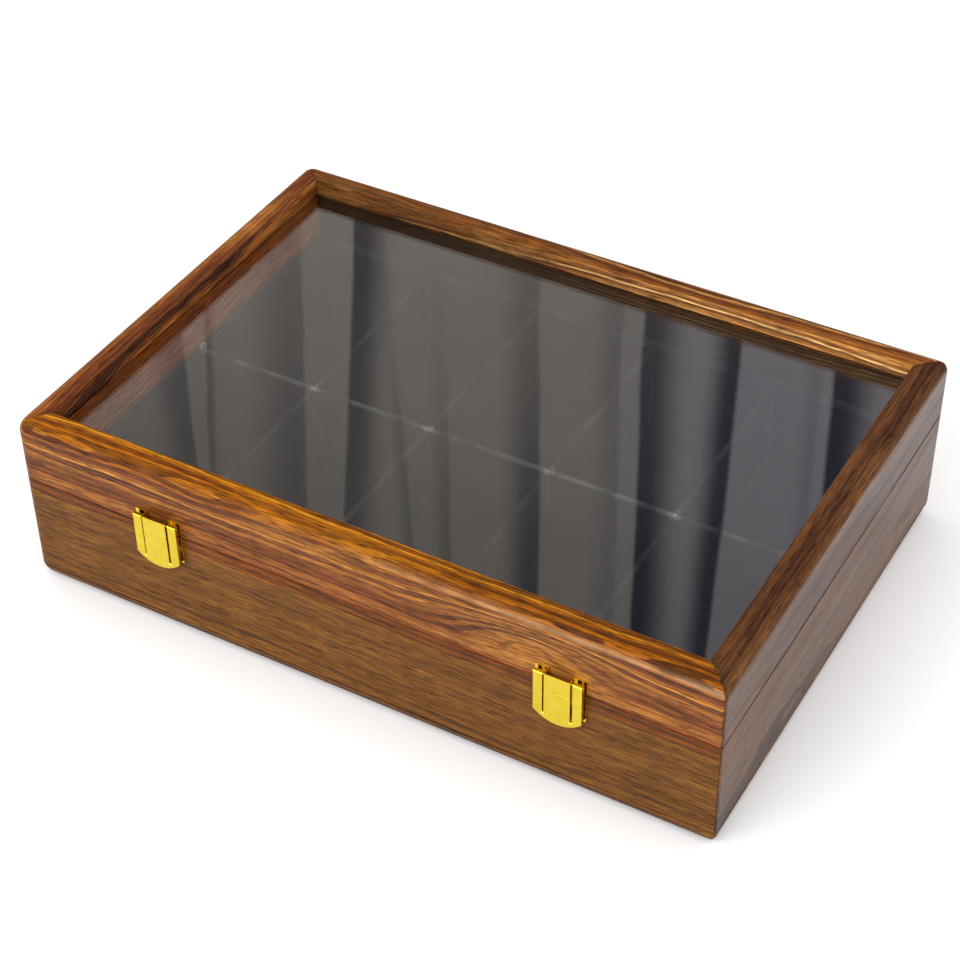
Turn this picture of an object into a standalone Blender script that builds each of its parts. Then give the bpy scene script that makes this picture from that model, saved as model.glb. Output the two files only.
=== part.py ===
"""Wooden display case for ten pairs of glasses: a lined base, a glazed lid, two hinges, two latches.

Metres, +Z up, +X to the right, -Y to the front. The origin is at the middle of the underside.
"""
import math

import bmesh
import bpy
from mathutils import Matrix, Vector

# Driving dimensions of the case
WIDTH = 0.480
DEPTH = 0.334
HEIGHT = 0.126
PARTING = 0.081            # height of the joint between base and lid
WALL = 0.018
BOTTOM = 0.010             # thickness of the bottom board
ROUND_OVER = 0.0085        # radius along the outer top and bottom edges
LEFT_CORNER = 0.007        # radius of the upright outer edges on the left, which are rubbed rounder
RIGHT_CORNER = 0.002       # and on the right
EASE = 0.0005              # small chamfer on the edges at the parting joint
GAP = 0.0003               # between pieces that touch

# Glass
GLASS = 0.003
GLASS_DROP = 0.0115        # from the top of the lid down to the glass
GROOVE = 0.005             # depth of the groove that holds the pane

# Lining and dividers
LINING = 0.002
LINING_TOP = PARTING - 0.0015
DIVIDER = 0.005
DIVIDER_TOP = PARTING - 0.005
COLUMNS = 5

# Hinges
HINGE_CENTRES = (-0.150, 0.150)
HINGE_LENGTH = 0.050
LEAF_HEIGHT = 0.016
LEAF = 0.0011
BARREL = 0.0030            # radius
BORE = 0.0016
HINGE_PIN = 0.0013
KNUCKLES = 5

# Latches
LATCH_CENTRES = (-0.135, 0.141)
LATCH_WIDTH = 0.0315
PLATE_WIDTH = 0.0325
SHEET = 0.0006
HAT_WIDTH = 0.0170         # the raised middle of each plate
HAT_RISE = 0.0063          # from the wood to the face of the raised middle
KEEPER_TOP = 0.012         # above the parting joint
PLATE_BOTTOM = -0.0197     # below the parting joint
LEVER_FACE = 0.0057        # from the wood to the face of the lever, just behind the raised middle
LEVER_DEPTH = 0.0028
LEVER_PLAY = 0.0009        # between the raised middle and the rail on either side
LEVER_TOP = 0.0110
LEVER_SHOULDER = -0.0190   # where the straight sides end and the curved foot begins
LEVER_FOOT = -0.0260
LEVER_PIVOT = 0.0096       # height of the pin above the parting joint
PIVOT_OUT = 0.0042         # from the wood to the pin's axis
LATCH_PIN = 0.0005
LATCH_BORE = 0.0007

# Fasteners: head radius, head height, shank radius, shank length
SCREW = (0.0021, 0.0009, 0.0009, 0.0100)
NAIL = (0.0012, 0.0006, 0.0005, 0.0080)

SMOOTH_ANGLE = math.radians(35)
FRONT_FACE = -DEPTH / 2
BACK_FACE = DEPTH / 2
HINGE_AXIS = Vector((0.0, BACK_FACE + GAP + BARREL, PARTING))
INSIDE_X = WIDTH / 2 - WALL
INSIDE_Y = DEPTH / 2 - WALL
FLOOR_TOP = BOTTOM + GAP / 2 + LINING


# ---------------------------------------------------------------- scene and materials

def clear_scene():
    for existing in list(bpy.data.objects):
        bpy.data.objects.remove(existing, do_unlink=True)


def new_collection(name):
    collection = bpy.data.collections.new(name)
    bpy.context.scene.collection.children.link(collection)
    return collection


def new_material(name, colour, roughness, metallic=0.0):
    material = bpy.data.materials.new(name)
    material.use_nodes = True
    shader = material.node_tree.nodes["Principled BSDF"]
    shader.inputs["Base Color"].default_value = (*colour, 1.0)
    shader.inputs["Roughness"].default_value = roughness
    shader.inputs["Metallic"].default_value = metallic
    return material


clear_scene()
parts = new_collection("glasses_organizer")
cutters = new_collection("cutters")

lid_wood = new_material("lid_wood", (0.205, 0.075, 0.025), 0.32)
base_wood = new_material("base_wood", (0.165, 0.080, 0.030), 0.35)
brass = new_material("brass", (0.83, 0.60, 0.10), 0.18, 1.0)
glass = new_material("glass", (0.80, 0.85, 0.86), 0.04)
lining_cloth = new_material("lining_cloth", (0.030, 0.030, 0.034), 0.95)


# ---------------------------------------------------------------- modelling helpers

def add_object(name, bm, material=None, collection=None):
    """Turn a bmesh into an object of the case, or into a hidden cutter."""
    bmesh.ops.recalc_face_normals(bm, faces=bm.faces)
    mesh = bpy.data.meshes.new(name)
    bm.to_mesh(mesh)
    bm.free()
    part = bpy.data.objects.new(name, mesh)
    (collection or parts).objects.link(part)
    if material:
        mesh.materials.append(material)
    return part


def hide_cutter(cutter):
    cutter.display_type = "WIRE"
    cutter.hide_render = True
    return cutter


def box_mesh(low, high):
    """A box between two opposite corners."""
    bm = bmesh.new()
    low, high = Vector(low), Vector(high)
    size = high - low
    place = Matrix.Translation((low + high) / 2) @ Matrix.Diagonal((*size, 1.0))
    bmesh.ops.create_cube(bm, size=1.0, matrix=place)
    return bm


def add_box(name, low, high, material):
    return add_object(name, box_mesh(low, high), material)


def cut_box(name, low, high):
    return hide_cutter(add_object(name, box_mesh(low, high), collection=cutters))


def rod_mesh(bm, radius, start, end, segments):
    """A cylinder between two points."""
    start, end = Vector(start), Vector(end)
    along = end - start
    place = Matrix.Translation((start + end) / 2) @ along.to_track_quat("Z", "Y").to_matrix().to_4x4()
    bmesh.ops.create_cone(bm, cap_ends=True, segments=segments, radius1=radius, radius2=radius,
                          depth=along.length, matrix=place)
    return bm


def cut_rods(name, radius, spans, segments=12):
    """One cutter made of several separate cylinders."""
    bm = bmesh.new()
    for start, end in spans:
        rod_mesh(bm, radius, start, end, segments)
    return hide_cutter(add_object(name, bm, collection=cutters))


def prism_mesh(outline, axis, low, high):
    """A flat outline of (u, v) points, extruded along one axis from low to high."""
    bm = bmesh.new()
    corners = []
    for u, v in outline:
        point = [u, v]
        point.insert("XYZ".index(axis), low)
        corners.append(bm.verts.new(point))
    face = bm.faces.new(corners)
    extruded = bmesh.ops.extrude_face_region(bm, geom=[face])
    moved = [item for item in extruded["geom"] if isinstance(item, bmesh.types.BMVert)]
    step = Vector((0.0, 0.0, 0.0))
    step["XYZ".index(axis)] = high - low
    bmesh.ops.translate(bm, verts=moved, vec=step)
    return bm


def arc(centre, radius, start, end, steps):
    """Points on an arc, with the angles in degrees."""
    points = []
    for step in range(steps + 1):
        angle = math.radians(start + (end - start) * step / steps)
        points.append((centre[0] + radius * math.cos(angle), centre[1] + radius * math.sin(angle)))
    return points


def bevel_edges(bm, chosen, width, segments):
    """Round the edges that the test picks out."""
    edges = [edge for edge in bm.edges if chosen(*(corner.co for corner in edge.verts))]
    bmesh.ops.bevel(bm, geom=edges, offset=width, segments=segments, profile=0.5, affect="EDGES")


def boolean(part, cutter, operation="DIFFERENCE"):
    modifier = part.modifiers.new(operation.lower(), "BOOLEAN")
    modifier.operation = operation
    modifier.solver = "EXACT"
    modifier.object = cutter


def bake_modifiers(objects):
    """Keep the shapes that the modifiers make, so that a piece can turn about its pivot, and shade them."""
    depsgraph = bpy.context.evaluated_depsgraph_get()
    baked = {part: bpy.data.meshes.new_from_object(part.evaluated_get(depsgraph)) for part in objects}
    for part, mesh in baked.items():
        part.modifiers.clear()
        mesh.name = part.name
        part.data = mesh
        mesh.shade_smooth()
        mesh.set_sharp_from_angle(angle=SMOOTH_ANGLE)


def ride_on(part, pivot):
    """Parent a piece to a pivot without moving it."""
    part.parent = pivot
    part.matrix_parent_inverse = Matrix.Translation(-pivot.location)


# ---------------------------------------------------------------- woodwork

def edge_radius(edge):
    """How far one of the case's twelve outer edges is rounded."""
    first, second = (corner.co for corner in edge.verts)
    if abs(first.z - second.z) < GAP:
        return ROUND_OVER
    return LEFT_CORNER if first.x < 0 else RIGHT_CORNER


def case_outline():
    """The whole case as one block with its outer edges rounded, used to trim every outer board."""
    bm = box_mesh((-WIDTH / 2, -DEPTH / 2, 0.0), (WIDTH / 2, DEPTH / 2, HEIGHT))
    weight = bm.edges.layers.float.new("bevel_weight_edge")
    for edge in bm.edges:
        edge[weight] = edge_radius(edge) / ROUND_OVER
    outline = hide_cutter(add_object("case_outline", bm, collection=cutters))
    rounding = outline.modifiers.new("rounding", "BEVEL")
    rounding.limit_method = "WEIGHT"
    rounding.width = ROUND_OVER
    rounding.segments = 6
    return outline


def lid_profile():
    """Section of a lid rail as (inset from the outer face, height), a little proud of the outline."""
    outer = [(-GAP, HEIGHT + GAP), (WALL - EASE * 2, HEIGHT + GAP)]
    inner_arc = arc((WALL - EASE * 2, HEIGHT - EASE * 2), EASE * 2, 90, 0, 2)
    glass_top = HEIGHT - GLASS_DROP + GAP
    glass_bottom = HEIGHT - GLASS_DROP - GLASS - GAP
    foot = PARTING + GAP / 2
    seat = WALL - GROOVE
    groove = [(WALL, glass_top), (seat, glass_top), (seat, glass_bottom), (WALL, glass_bottom)]
    return outer + inner_arc + groove + [(WALL, foot), (EASE, foot), (-GAP, foot + EASE + GAP)]


def base_profile():
    """Section of a base board as (inset from the outer face, height), a little proud of the outline."""
    foot = BOTTOM + GAP / 2
    top = PARTING - GAP / 2
    return [(-GAP, foot), (-GAP, top - EASE - GAP), (EASE, top), (WALL, top), (WALL, foot)]


def mitred_board(name, profile, side, material, outline):
    """A board along one side of the case, with its ends cut at 45 degrees."""
    turn = {"front": 0, "right": 90, "back": 180, "left": 270}[side]
    length, reach = (WIDTH, DEPTH) if turn % 180 == 0 else (DEPTH, WIDTH)
    bm = prism_mesh([(inset - reach / 2, height) for inset, height in profile], "X", -1.0, 1.0)
    mitre_gap = GAP / 2 * math.sqrt(2)
    for corner in bm.verts:
        inset = corner.co.y + reach / 2
        corner.co.x = math.copysign(length / 2 - inset - mitre_gap, corner.co.x)
    bmesh.ops.rotate(bm, verts=bm.verts, matrix=Matrix.Rotation(math.radians(turn), 3, "Z"))
    board = add_object(name, bm, material)
    boolean(board, outline, "INTERSECT")
    return board


def bottom_board(outline):
    """The board that closes the base; the outline rounds its lower edges."""
    half_x, half_y = WIDTH / 2 + GAP, DEPTH / 2 + GAP
    bm = box_mesh((-half_x, -half_y, -GAP), (half_x, half_y, BOTTOM - GAP / 2))
    board = add_object("bottom_board", bm, base_wood)
    boolean(board, outline, "INTERSECT")
    return board


def glass_pane():
    half_x = INSIDE_X + GROOVE - GAP
    half_y = INSIDE_Y + GROOVE - GAP
    top = HEIGHT - GLASS_DROP
    return add_box("glass_pane", (-half_x, -half_y, top - GLASS), (half_x, half_y, top), glass)


# ---------------------------------------------------------------- lining and dividers

def floor_lining():
    half_x = INSIDE_X - GAP
    half_y = INSIDE_Y - GAP
    bottom = BOTTOM + GAP / 2
    add_box("floor_lining", (-half_x, -half_y, bottom), (half_x, half_y, FLOOR_TOP), lining_cloth)


def wall_linings():
    """Covered cards against the inside of the four boards."""
    low = FLOOR_TOP + GAP
    outer_x = INSIDE_X - GAP
    outer_y = INSIDE_Y - GAP
    short_y = outer_y - LINING - GAP
    for name, side in (("front_lining", -1), ("back_lining", 1)):
        near, far = sorted((side * outer_y, side * (outer_y - LINING)))
        add_box(name, (-outer_x, near, low), (outer_x, far, LINING_TOP), lining_cloth)
    for name, side in (("left_lining", -1), ("right_lining", 1)):
        near, far = sorted((side * outer_x, side * (outer_x - LINING)))
        add_box(name, (near, -short_y, low), (far, short_y, LINING_TOP), lining_cloth)


def divider(name, low, high, along, slots):
    """A covered board on edge, with rounded top edges and half-lap slots."""
    bm = box_mesh(low, high)
    top = high[2]
    bevel_edges(bm, lambda a, b: min(a.z, b.z) > top - GAP and abs(a[along] - b[along]) > DIVIDER * 2,
                DIVIDER * 0.3, 3)
    board = add_object(name, bm, lining_cloth)
    boolean(board, slots)


def dividers():
    """One long divider and the cross dividers, halved into each other."""
    low = FLOOR_TOP + GAP
    half = (low + DIVIDER_TOP) / 2
    reach_x = INSIDE_X - LINING - 3 * GAP
    reach_y = INSIDE_Y - LINING - 3 * GAP
    slot = DIVIDER / 2 + GAP
    pitch = 2 * reach_x / COLUMNS
    places = [-reach_x + pitch * (column + 1) for column in range(COLUMNS - 1)]

    lower = bmesh.new()
    for x in places:
        size = Matrix.Diagonal((2 * slot, 4 * DIVIDER, 2 * (half - low), 1.0))
        bmesh.ops.create_cube(lower, size=1.0, matrix=Matrix.Translation((x, 0.0, low)) @ size)
    lower_slots = hide_cutter(add_object("lower_slots", lower, collection=cutters))
    upper_slot = cut_box("upper_slot", (-WIDTH, -slot, half - GAP), (WIDTH, slot, HEIGHT))

    divider("long_divider", (-reach_x, -DIVIDER / 2, low), (reach_x, DIVIDER / 2, DIVIDER_TOP),
            0, lower_slots)
    for number, x in enumerate(places, start=1):
        divider(f"cross_divider_{number}", (x - DIVIDER / 2, -reach_y, low),
                (x + DIVIDER / 2, reach_y, DIVIDER_TOP), 1, upper_slot)


# ---------------------------------------------------------------- fasteners

def turned_head(head_radius, head_height, shank_radius, shank_length):
    """Profile of a domed head on a pointed shank, from the top of the axis to its lower end."""
    dome = arc((0.0, 0.0), head_radius, 90, 0, 4)
    profile = [(x, z * head_height / head_radius) for x, z in dome]
    profile += [(shank_radius, 0.0), (shank_radius, -shank_length * 0.7), (0.0, -shank_length)]
    return profile


def fastener_mesh(name, size, slotted):
    """The shared mesh of a screw or a nail, with its head's underside at the origin."""
    profile = turned_head(*size)
    mesh = bpy.data.meshes.new(name)
    points = [(x, 0.0, z) for x, z in profile]
    mesh.from_pydata(points, [(i, i + 1) for i in range(len(points) - 1)], [])
    blank = bpy.data.objects.new(name + "_blank", mesh)
    cutters.objects.link(blank)
    turn = blank.modifiers.new("turn", "SCREW")
    turn.steps = 12
    turn.render_steps = 12
    turn.use_merge_vertices = True
    turn.merge_threshold = 0.00005
    if slotted:
        radius, height = size[0], size[1]
        low = (-radius * 1.2, -radius * 0.14, height * 0.45)
        high = (radius * 1.2, radius * 0.14, height * 1.5)
        boolean(blank, cut_box(name + "_slot", low, high))
    bpy.context.view_layer.update()
    finished = bpy.data.meshes.new_from_object(blank.evaluated_get(bpy.context.evaluated_depsgraph_get()))
    finished.materials.clear()
    finished.materials.append(brass)
    bpy.data.objects.remove(blank, do_unlink=True)
    return finished


def place_fastener(name, mesh, place, faces_back):
    part = bpy.data.objects.new(name, mesh)
    parts.objects.link(part)
    part.location = place
    part.rotation_euler.x = math.radians(-90 if faces_back else 90)
    return part


# ---------------------------------------------------------------- hinges

def knuckle_spans(owner):
    """The stretches of barrel that one leaf owns: 0 for the base leaf, 1 for the lid leaf."""
    pitch = HINGE_LENGTH / KNUCKLES
    return [(-HINGE_LENGTH / 2 + pitch * k, -HINGE_LENGTH / 2 + pitch * (k + 1))
            for k in range(KNUCKLES) if k % 2 == owner]


def leaf_mesh(upward):
    """A plate whose edge rolls into the barrel; the barrel's axis is at the origin."""
    inner = -BARREL
    outer = inner + LEAF
    roll = arc((0.0, 0.0), BARREL, 180, -math.degrees(math.acos(outer / BARREL)), 14)
    outline = [(inner, -LEAF_HEIGHT)] + roll + [(outer, -LEAF_HEIGHT)]
    bm = prism_mesh(outline, "X", -HINGE_LENGTH / 2, HINGE_LENGTH / 2)
    bevel_edges(bm, lambda a, b: max(a.z, b.z) < -LEAF_HEIGHT + GAP and abs(a.y - b.y) > GAP, 0.002, 3)
    if upward:
        bmesh.ops.scale(bm, verts=bm.verts, vec=(1.0, 1.0, -1.0))
    return bm


def hinge_leaf(name, centre, owner, bore, screw_holes):
    """One leaf, with room cut for the other leaf's knuckles."""
    leaf = add_object(name, leaf_mesh(upward=owner == 1), brass)
    leaf.location = centre
    room = bmesh.new()
    for start, end in knuckle_spans(1 - owner):
        size = Matrix.Diagonal((end - start + GAP, 4 * BARREL, 2 * (BARREL + GAP), 1.0))
        middle = Matrix.Translation((centre.x + (start + end) / 2, centre.y, centre.z))
        bmesh.ops.create_cube(room, size=1.0, matrix=middle @ size)
    boolean(leaf, hide_cutter(add_object(name + "_room", room, collection=cutters)))
    boolean(leaf, bore)
    boolean(leaf, screw_holes)
    return leaf


def hinge(side, x, back_boards, screw_mesh, lid_pivot):
    """Two leaves, a pin and four screws on the back of the case."""
    centre = Vector((x, HINGE_AXIS.y, HINGE_AXIS.z))
    reach = HINGE_LENGTH / 2
    seat = BACK_FACE + GAP + LEAF
    screw_x = HINGE_LENGTH * 0.32
    screw_z = LEAF_HEIGHT * 0.62
    heads = [Vector((x + sx * screw_x, seat + GAP, PARTING + sz * screw_z))
             for sz in (-1, 1) for sx in (-1, 1)]
    outward = Vector((0.0, 0.002, 0.0))
    inward = Vector((0.0, SCREW[3] + 0.001, 0.0))
    through = Vector((HINGE_LENGTH, 0.0, 0.0))
    bore = cut_rods(f"hinge_{side}_bore", BORE, [(centre - through, centre + through)], 16)
    holes = cut_rods(f"hinge_{side}_screw_holes", SCREW[2] + GAP,
                     [(head + outward, head - inward) for head in heads])
    for board in back_boards:
        boolean(board, holes)

    hinge_leaf(f"hinge_{side}_base_leaf", centre, 0, bore, holes)
    ride_on(hinge_leaf(f"hinge_{side}_lid_leaf", centre, 1, bore, holes), lid_pivot)

    pin = rod_mesh(bmesh.new(), HINGE_PIN, (-reach, 0.0, 0.0), (reach, 0.0, 0.0), 12)
    pin_object = add_object(f"hinge_{side}_pin", pin, brass)
    pin_object.location = centre

    names = ("base_screw_1", "base_screw_2", "lid_screw_1", "lid_screw_2")
    for name, head in zip(names, heads):
        screw = place_fastener(f"hinge_{side}_{name}", screw_mesh, head, faces_back=True)
        if name.startswith("lid"):
            ride_on(screw, lid_pivot)


# ---------------------------------------------------------------- latches

def hat_plate(name, x, low, high, holes):
    """A sheet plate with a raised middle, open at its top and bottom; its back is on the wood."""
    depth = HAT_RISE - GAP - SHEET
    flange, hat = PLATE_WIDTH / 2, HAT_WIDTH / 2 - SHEET
    line = [(-flange, 0.0), (-hat, 0.0), (-hat, -depth), (hat, -depth), (hat, 0.0), (flange, 0.0)]
    bm = bmesh.new()
    corners = [bm.verts.new((u, v, low)) for u, v in line]
    edges = [bm.edges.new(pair) for pair in zip(corners, corners[1:])]
    raised = bmesh.ops.extrude_edge_only(bm, edges=edges)
    moved = [item for item in raised["geom"] if isinstance(item, bmesh.types.BMVert)]
    bmesh.ops.translate(bm, verts=moved, vec=(0.0, 0.0, high - low))
    bevel_edges(bm, lambda a, b: a.y < -depth + GAP and abs(a.z - b.z) > GAP, 0.0006, 3)
    plate = add_object(name, bm, brass)
    plate.location = (x, FRONT_FACE - GAP, PARTING)
    thick = plate.modifiers.new("sheet", "SOLIDIFY")
    thick.thickness = SHEET
    thick.offset = 1.0 if plate.data.polygons[0].normal.y < 0 else -1.0
    thick.use_even_offset = True
    for cutter in holes:
        boolean(plate, cutter)
    return plate


def lever_outline():
    """The front view of the lever: two rails and a curved foot around the raised middles."""
    outer = LATCH_WIDTH / 2
    inner = HAT_WIDTH / 2 + LEVER_PLAY
    crotch = PLATE_BOTTOM - GAP
    drop = LEVER_SHOULDER - LEVER_FOOT
    radius = (outer ** 2 + drop ** 2) / (2 * drop)
    spread = math.degrees(math.asin(outer / radius))
    foot = arc((0.0, LEVER_FOOT + radius), radius, 270 - spread, 270 + spread, 12)
    left = [(-inner, crotch), (-inner, LEVER_TOP), (-outer, LEVER_TOP)]
    right = [(outer, LEVER_TOP), (inner, LEVER_TOP), (inner, crotch)]
    return left + foot + right


def latch_lever(name, x, bore, lid_pivot):
    """A pressed channel, hollow at the back, that swings on a pin through the tops of its rails.

    Its origin is on the pin's axis.
    """
    face = PIVOT_OUT - LEVER_FACE
    back = face + LEVER_DEPTH
    outline = [(u, v - LEVER_PIVOT) for u, v in lever_outline()]
    bm = prism_mesh(outline, "Y", face, back)
    bevel_edges(bm, lambda a, b: max(a.y, b.y) < face + GAP / 2, 0.0010, 4)
    bm.faces.ensure_lookup_table()
    rear = max(bm.faces, key=lambda f: f.calc_center_median().y)
    bmesh.ops.inset_region(bm, faces=[rear], thickness=SHEET, use_even_offset=True)
    hollow = bmesh.ops.extrude_discrete_faces(bm, faces=[rear])["faces"]
    bmesh.ops.translate(bm, verts=hollow[0].verts, vec=(0.0, SHEET - LEVER_DEPTH, 0.0))
    lever = add_object(name, bm, brass)
    lever.location = (x, FRONT_FACE - PIVOT_OUT, PARTING + LEVER_PIVOT)
    boolean(lever, bore)
    ride_on(lever, lid_pivot)


def latch(side, x, front_boards, nail_mesh, lid_pivot):
    """A plate on the base, a keeper, pin and lever on the lid, and their nails."""
    flange_middle = (PLATE_WIDTH + HAT_WIDTH) / 4
    seat = FRONT_FACE - GAP - SHEET - GAP
    heights = {"plate_nail": PARTING + PLATE_BOTTOM * 0.55, "keeper_nail": PARTING + KEEPER_TOP * 0.42}
    heads = {f"{kind}_{number}": Vector((x + sx * flange_middle, seat, height))
             for kind, height in heights.items() for number, sx in ((1, -1), (2, 1))}

    holes = cut_rods(f"latch_{side}_nail_holes", NAIL[2] + GAP,
                     [(head - Vector((0, 0.001, 0)), head + Vector((0, NAIL[3] + 0.001, 0)))
                      for head in heads.values()])
    for board in front_boards:
        boolean(board, holes)
    axis = Vector((x, FRONT_FACE - PIVOT_OUT, PARTING + LEVER_PIVOT))
    reach = Vector((LATCH_WIDTH / 2 - SHEET / 2, 0.0, 0.0))
    bore = cut_rods(f"latch_{side}_bore", LATCH_BORE, [(axis - reach * 1.03, axis + reach * 1.03)], 12)

    hat_plate(f"latch_{side}_base_plate", x, PLATE_BOTTOM, -GAP / 2, [holes])
    ride_on(hat_plate(f"latch_{side}_keeper", x, GAP / 2, KEEPER_TOP, [holes, bore]), lid_pivot)
    latch_lever(f"latch_{side}_lever", x, bore, lid_pivot)

    pin = rod_mesh(bmesh.new(), LATCH_PIN, -reach, reach, 10)
    pin_object = add_object(f"latch_{side}_pin", pin, brass)
    pin_object.location = axis
    ride_on(pin_object, lid_pivot)

    for name, head in heads.items():
        nail = place_fastener(f"latch_{side}_{name}", nail_mesh, head, faces_back=False)
        if name.startswith("keeper"):
            ride_on(nail, lid_pivot)


# ---------------------------------------------------------------- assembly

def build():
    lid_pivot = bpy.data.objects.new("lid_pivot", None)
    lid_pivot.location = HINGE_AXIS
    parts.objects.link(lid_pivot)

    outline = case_outline()
    bottom_board(outline)
    boards = {}
    for side in ("front", "right", "back", "left"):
        boards["base", side] = mitred_board(f"base_{side}_board", base_profile(), side, base_wood, outline)
        boards["lid", side] = mitred_board(f"lid_{side}_rail", lid_profile(), side, lid_wood, outline)
        ride_on(boards["lid", side], lid_pivot)
    ride_on(glass_pane(), lid_pivot)

    floor_lining()
    wall_linings()
    dividers()

    screw_mesh = fastener_mesh("screw", SCREW, slotted=True)
    nail_mesh = fastener_mesh("nail", NAIL, slotted=False)
    back_boards = (boards["base", "back"], boards["lid", "back"])
    front_boards = (boards["base", "front"], boards["lid", "front"])
    for side, x in zip(("left", "right"), HINGE_CENTRES):
        hinge(side, x, back_boards, screw_mesh, lid_pivot)
    for side, x in zip(("left", "right"), LATCH_CENTRES):
        latch(side, x, front_boards, nail_mesh, lid_pivot)
    bake_modifiers([part for part in parts.objects if part.type == "MESH"])


build()
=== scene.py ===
"""The looks of a wooden glasses case with a glazed lid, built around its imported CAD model.

The hard parts stay as the CAD made them and get softened edges and finished materials. The linings and
the dividers are rebuilt as cloth over card. Metres throughout, in the CAD model's own frame.
"""

import math

import bpy
import bmesh
from mathutils import Matrix, Vector, noise


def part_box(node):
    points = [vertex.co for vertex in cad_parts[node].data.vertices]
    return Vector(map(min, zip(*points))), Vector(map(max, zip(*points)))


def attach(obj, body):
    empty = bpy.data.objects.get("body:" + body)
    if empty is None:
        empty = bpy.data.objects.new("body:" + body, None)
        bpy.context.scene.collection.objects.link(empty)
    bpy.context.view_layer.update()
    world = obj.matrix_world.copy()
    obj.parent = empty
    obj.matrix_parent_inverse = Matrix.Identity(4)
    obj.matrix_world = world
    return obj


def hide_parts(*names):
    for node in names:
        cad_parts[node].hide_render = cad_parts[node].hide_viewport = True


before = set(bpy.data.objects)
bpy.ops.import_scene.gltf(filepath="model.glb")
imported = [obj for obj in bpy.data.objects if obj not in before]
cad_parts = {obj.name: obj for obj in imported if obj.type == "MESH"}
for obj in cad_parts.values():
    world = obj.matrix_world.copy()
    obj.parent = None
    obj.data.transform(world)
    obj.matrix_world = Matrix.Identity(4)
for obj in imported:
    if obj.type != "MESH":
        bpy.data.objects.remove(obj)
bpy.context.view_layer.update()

# The camera, as it stood for the photograph
CAMERA_TARGET = Vector((-0.0039, -0.0045, 0.0533))
CAMERA_DISTANCE = 1.4473
CAMERA_AZIMUTH = math.radians(30.052)
CAMERA_ELEVATION = math.radians(40.321)
CAMERA_ROLL = math.radians(-0.817)
LENS = 84.6
SENSOR = 36.0

# Light
SKY = 1.09
KEY_PLACE = Vector((-0.45, -1.60, 1.35))
KEY_SIZE = (1.50, 1.10)
KEY_POWER = 18.0
SIDE_PLACE = Vector((2.00, -0.30, 1.20))
SIDE_SIZE = (1.20, 1.20)
SIDE_POWER = 6.0
FLOOR_SIZE = 14.0
FLOOR_DROP = 0.0002        # below the case, so that the two don't share a plane

# The curtain behind the case, which the glass mirrors
CURTAIN_Y = 2.0
CURTAIN_LOW = 1.30
CURTAIN_HIGH = 3.10
CURTAIN_LEFT = -3.20
CURTAIN_RIGHT = 0.60
CURTAIN_STEP = 0.010
CURTAIN_WARM = (1.04, 0.95, 0.86)
CURTAIN_COOL = (1.00, 0.95, 1.04)
CURTAIN_DEEP = (0.14, 0.13, 0.19)
CURTAIN_FOLDS = (          # edge, lean, reach and the two shares, as fold() explains them
    (-1.875, 0.00, -0.12, 0.52, 0.52),
    (-1.815, -0.07, 0.03, 0.45, 0.40),
    (-1.570, -0.05, -0.16, 0.48, 0.36),
    (-1.463, -0.09, 0.10, 0.64, 0.82),
    (-1.345, 0.05, -0.04, 0.35, 0.10),
    (-1.235, 0.00, -0.05, 0.38, 0.0),
    (-1.030, 0.00, -0.10, 0.80, 0.35),
    (-0.860, 0.00, -0.07, 0.25, 0.30),
    (-0.820, 0.00, 0.10, 1.00, 0.82),
    (-0.642, -0.03, -0.07, 0.97, 0.93),
    (-0.480, 0.00, -0.04, 0.22, 0.22),
    (-0.458, 0.00, 0.10, 0.97, 0.97),
)

# Wood
PLAIN = (1.0, 1.0, 1.0)    # a tint that changes nothing
# the dark colour of the joints between boards
JOINT_DARK = (0.008, 0.004, 0.003)
# the colour of the painted highlight on the rounded front edge
EDGE_HIGHLIGHT = (0.72, 0.46, 0.24)
HEART_SHARE = (0.42, 0.32, 0.50)     # the colour of the dark zones, as a share of the main wood's
KNOT_PULL = 0.009          # how far a knot bends the rings
BAND_EDGE = 0.0016         # how far the edge of a band of heartwood fades
SEAM = 0.0005              # half the width of the dark line in a joint between boards
RING_WANDERINGS = (        # cycles per metre on each axis, and how far the rings stray
    ((2.6, 9.0, 9.0), 0.016),
    ((8.0, 30.0, 30.0), 0.0070),
    ((30.0, 110.0, 110.0), 0.0018),
)

# Cloth and card
COVER = 0.0005             # thickness of the cloth over a divider
COVER_PLAY = 0.0003        # gap on each side of a divider where it crosses another one's cloth
CARD_PLAY = 0.0008         # gap on each side of a card where it crosses another
CARD_INSET = 0.0004        # from the end of a divider to the end of its card
CROWN = 0.0005             # how far a lining swells in the middle of a compartment
LINING_ROUND = 0.0015      # radius along a lining's edges
CLOTH_STEP = 0.007
RIPPLE = 0.00012           # how far a lining strays from its smooth swelling
SLACK = 0.00022            # how far a divider's cloth strays from its card
COLUMNS = 5                # compartments in a row

# How far the CAD parts' sharp edges are rounded
BOARD_EDGE = 0.00035
METAL_EDGE = 0.00014


# ---------------------------------------------------------------- node trees

def add_node(tree, kind, inputs=None, **settings):
    """A node with its settings by name, and each input by name or number as a value or a socket."""
    made = tree.nodes.new(kind)
    for name, value in settings.items():
        setattr(made, name, value)
    for name, value in (inputs or {}).items():
        if isinstance(value, bpy.types.NodeSocket):
            tree.links.new(value, made.inputs[name])
        else:
            made.inputs[name].default_value = value
    return made


def calculate(tree, operation, *values):
    """A maths node's result for the values, each a socket or a number."""
    return add_node(tree, "ShaderNodeMath", dict(enumerate(values)), operation=operation).outputs[0]


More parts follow.
